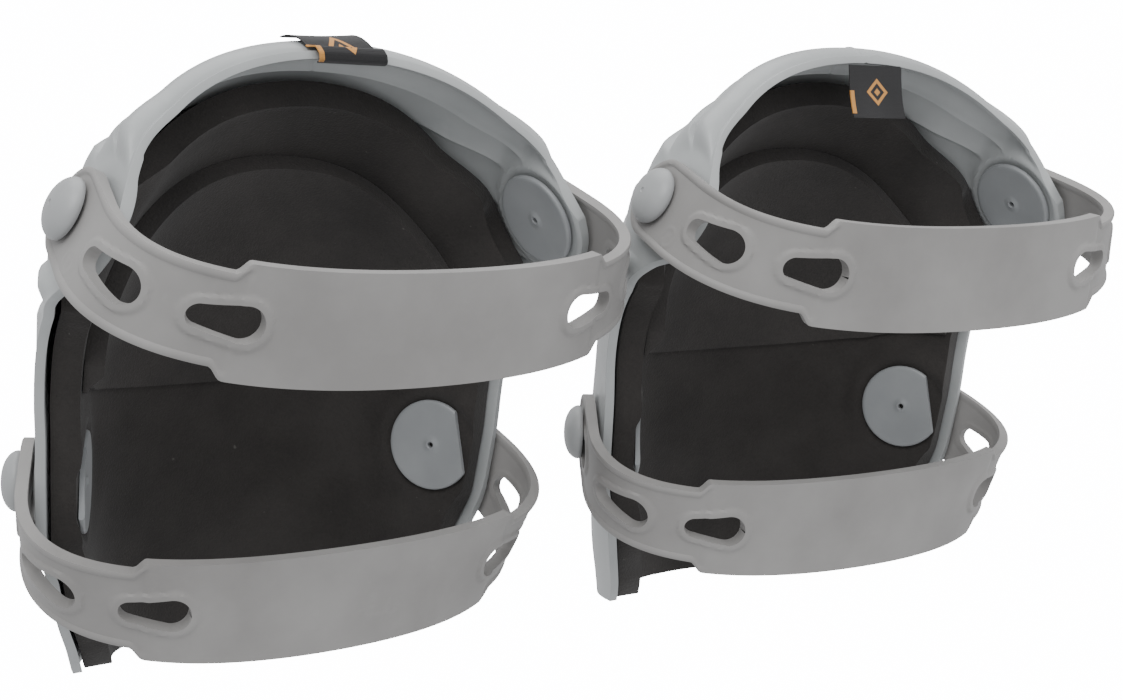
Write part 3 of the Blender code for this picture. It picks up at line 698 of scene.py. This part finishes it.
def mouldedRubber(name, form):
    made, w, shader = newMaterial(name)
    where = w.add("ShaderNodeTexCoord", {}, {}, 3)
    cloud = w.noise(where, form["cloud"], 5.0)
    speck = w.noise(where, form["grain"], 2.0)
    smudge = w.noise(where, form["cloud"] * 2.7, 6.0, 0.7)
    pale = w.add("ShaderNodeMapRange", {}, {"Value": cloud, "From Min": 0.35, "From Max": 0.68})
    colour = w.mix(pale, form["dark"], form["light"])
    dust = w.add("ShaderNodeMapRange", {},
                 {"Value": smudge, "From Min": 0.6, "From Max": 0.78, "To Max": form["dust"]})
    colour = w.mix(dust, colour, form["dusty"])
    join(colour, shader, "Base Color")
    join(form["rough"] + (cloud - 0.5) * 0.22 + (speck - 0.5) * 0.1, shader, "Roughness")
    height = speck * 0.6 + cloud * 0.4
    bump = w.add("ShaderNodeBump", {}, {"Strength": form["bump"], "Distance": 0.0002, "Height": height})
    join(bump, shader, "Normal")
    shader.inputs["Specular IOR Level"].default_value = form["specular"]
    shader.inputs["Sheen Weight"].default_value = 0.08
    return made


def foamMaterial(name, form):
    made, w, shader = newMaterial(name)
    where = w.add("ShaderNodeTexCoord", {}, {}, 3)
    grain = w.noise(where, 900.0, 3.0, 0.7)
    cells = w.add("ShaderNodeTexVoronoi", {}, {"Vector": where, "Scale": 1400.0})
    cloud = w.noise(where, 28.0, 5.0)
    lint = w.noise(where, 420.0, 1.0)
    dots = w.add("ShaderNodeMapRange", {}, {"Value": lint, "From Min": 0.79, "From Max": 0.83})
    shade = w.add("ShaderNodeMapRange", {},
                  {"Value": cloud * 0.7 + grain * 0.3, "From Min": 0.35, "From Max": 0.66})
    colour = w.mix(shade, form["dark"], form["light"])
    colour = w.mix(dots * 0.35, colour, form["lint"])
    join(colour, shader, "Base Color")
    join(form["rough"] + (grain - 0.5) * 0.16, shader, "Roughness")
    bump = w.add("ShaderNodeBump", {}, {"Strength": 0.55, "Distance": 0.00035, "Height": grain * 0.7 + cells * 0.5})
    join(bump, shader, "Normal")
    shader.inputs["Sheen Weight"].default_value = 0.12
    shader.inputs["Specular IOR Level"].default_value = 0.28
    return made


def labelMaterial(name):  # woven tape with a plain gold lozenge and a stitched end
    made, w, shader = newMaterial(name)
    uv = w.add("ShaderNodeTexCoord", {}, {}, 2)
    x = w.add("ShaderNodeSeparateXYZ", {}, {"Vector": uv}, 0)
    y = w.add("ShaderNodeSeparateXYZ", {}, {"Vector": uv}, 1)
    warp = w.sum("SINE", x * 330.0)
    weft = w.sum("SINE", y * 250.0)
    twill = w.sum("SINE", (x + y) * 210.0)
    dx, dy = w.sum("ABSOLUTE", x - 0.52) * 1.25, w.sum("ABSOLUTE", y - 0.5)
    lozenge = dx + dy
    inside = lozenge.less(0.26)
    hole = lozenge.less(0.17)
    dot = lozenge.less(0.075)
    mark = w.sum("MAXIMUM", inside - hole, dot)
    patch = x.less(0.07) * w.sum("ABSOLUTE", y - 0.3).less(0.22)
    gold = w.sum("MAXIMUM", mark, patch)
    cloth = w.mix(twill * 0.25 + 0.5, (0.006, 0.006, 0.007, 1), (0.017, 0.016, 0.017, 1))
    thread = w.mix(warp * 0.5 + 0.5, (0.5, 0.2, 0.035, 1), (0.75, 0.36, 0.07, 1))
    join(w.mix(gold, cloth, thread), shader, "Base Color")
    join(0.86 - gold * 0.3, shader, "Roughness")
    bump = w.add("ShaderNodeBump", {}, {"Strength": 0.5, "Distance": 0.00015,
                                        "Height": warp * 0.35 + weft * 0.35 + twill * 0.3 + gold * 1.2})
    join(bump, shader, "Normal")
    shader.inputs["Sheen Weight"].default_value = 0.2
    return made


looks = {
    "shell": {"dark": (0.36, 0.375, 0.375, 1), "light": (0.44, 0.455, 0.455, 1), "dusty": (0.56, 0.57, 0.57, 1),
              "cloud": 22.0, "grain": 1500.0, "dust": 0.25, "rough": 0.36, "bump": 0.12, "specular": 0.5},
    "strap": {"dark": (0.25, 0.242, 0.235, 1), "light": (0.31, 0.302, 0.294, 1), "dusty": (0.4, 0.39, 0.38, 1),
              "cloud": 26.0, "grain": 1300.0, "dust": 0.2, "rough": 0.5, "bump": 0.16, "specular": 0.42},
    "disc": {"dark": (0.27, 0.282, 0.29, 1), "light": (0.32, 0.332, 0.34, 1), "dusty": (0.42, 0.43, 0.44, 1),
             "cloud": 40.0, "grain": 1700.0, "dust": 0.15, "rough": 0.42, "bump": 0.1, "specular": 0.5},
    "button": {"dark": (0.33, 0.338, 0.34, 1), "light": (0.39, 0.398, 0.4, 1), "dusty": (0.5, 0.51, 0.52, 1),
               "cloud": 40.0, "grain": 1700.0, "dust": 0.15, "rough": 0.4, "bump": 0.1, "specular": 0.5},
    "liner": {"dark": (0.022, 0.0198, 0.0186, 1), "light": (0.042, 0.038, 0.0355, 1),
              "lint": (0.16, 0.15, 0.14, 1), "rough": 0.82},
    "cushion": {"dark": (0.03, 0.0275, 0.0262, 1), "light": (0.052, 0.0475, 0.045, 1),
              "lint": (0.16, 0.15, 0.14, 1), "rough": 0.78},
}
materials = {name: mouldedRubber(f"{name}Rubber", looks[name]) for name in ("shell", "strap", "disc", "button")}
materials.update({name: foamMaterial(f"{name}Foam", looks[name]) for name in ("liner", "cushion")})
materials["label"] = labelMaterial("labelTape")
print("materials ready")


def finishPiece(piece, node, body, material):
    piece.data.materials.clear()
    piece.data.materials.append(materials[material])
    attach(piece, body)
    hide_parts(node)


def makePad(pad):
    body = f"{pad}_pad"
    shell = makeShell(pad)
    finishPiece(shell, f"{pad}_shell", body, "shell")
    print(pad, "shell", len(shell.data.polygons))
    liner = makeLiner(pad)
    finishPiece(liner, f"{pad}_liner", body, "liner")
    cushion = makeCushion(pad)
    finishPiece(cushion, f"{pad}_knee_cushion", body, "cushion")
    print(pad, "foam")
    label = makeLabel(pad)
    finishPiece(label, f"{pad}_label", body, "label")
    for level, fixedSide in (("upper", -1), ("lower", 1)):
        strap = makeStrap(pad, level, fixedSide)
        finishPiece(strap, f"{pad}_{level}_strap", f"{pad}_{level}_strap", "strap")
        for sign, word in ((-1, "left"), (1, "right")):
            stud = f"{pad}_{level}_{word}"
            flange, button = makeFlange(f"{stud}_flange_disc", level), makeButton(f"{stud}_button_dome", level)
            for piece, node, look in ((flange, "flange", "disc"), (button, "button", "button")):
                placeInWorld(piece, padMatrix(pad) @ studMatrix(level, sign))
                faceOut(piece)
                smoothShade(piece, 40)
                finishPiece(piece, f"{stud}_{node}", f"{stud}_stud", look)
            boss = makeBoss(f"{stud}_boss_ring")
            placeInWorld(boss, padMatrix(pad) @ studMatrix(level, sign))
            faceOut(boss)
            smoothShade(boss, 40)
            boss.data.materials.append(materials["shell"])
            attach(boss, body)
        print(pad, level, "strap and studs")


for pad in padSides:
    makePad(pad)

# light and camera; the pads stand in an even white surround with no floor in sight
stage = {"backdrop": 16.0, "glow": 0.85}
lights = [
    {"name": "key", "place": (-0.9, -1.1, 1.3), "size": 1.2, "watts": 20},
    {"name": "fill", "place": (1.2, -1.3, 0.7), "size": 1.4, "watts": 8},
    {"name": "top", "place": (0.1, 0.2, 1.6), "size": 1.4, "watts": 11},
]
target = Vector((0, 0, 0.09))
for form in lights:
    data = bpy.data.lights.new(form["name"], "AREA")
    data.size, data.energy = form["size"], form["watts"]
    lamp = bpy.data.objects.new(form["name"], data)
    bpy.context.collection.objects.link(lamp)
    lamp.location = form["place"]
    lamp.rotation_euler = (target - lamp.location).to_track_quat("-Z", "Y").to_euler()

world = bpy.data.worlds.new("studio")
bpy.context.scene.world = world
world.use_nodes = True
sky = world.node_tree.nodes["Background"]
sky.inputs["Color"].default_value = (0.97, 0.98, 1.0, 1)
w = Wire(world.node_tree)
seen = w.add("ShaderNodeLightPath", {}, {}, 0)  # the surround is brighter seen directly than it lights the pads
join(seen * (stage["backdrop"] - stage["glow"]) + stage["glow"], sky, "Strength")

cameraForm = {"place": (-0.3537, -0.4981, 0.1063), "turn": -35.35, "pitch": -1.1, "roll": -3.15, "lens": 56.9}
data = bpy.data.cameras.new("camera")
data.lens, data.sensor_width = cameraForm["lens"], 36.0
camera = bpy.data.objects.new("camera", data)
bpy.context.collection.objects.link(camera)
camera.location = cameraForm["place"]
camera.rotation_euler = (Matrix.Rotation(math.radians(cameraForm["turn"]), 3, "Z")
                         @ Matrix.Rotation(math.radians(90 + cameraForm["pitch"]), 3, "X")
                         @ Matrix.Rotation(math.radians(cameraForm["roll"]), 3, "Z")).to_euler()
bpy.context.scene.camera = camera
print("stage ready")

clearSelection()
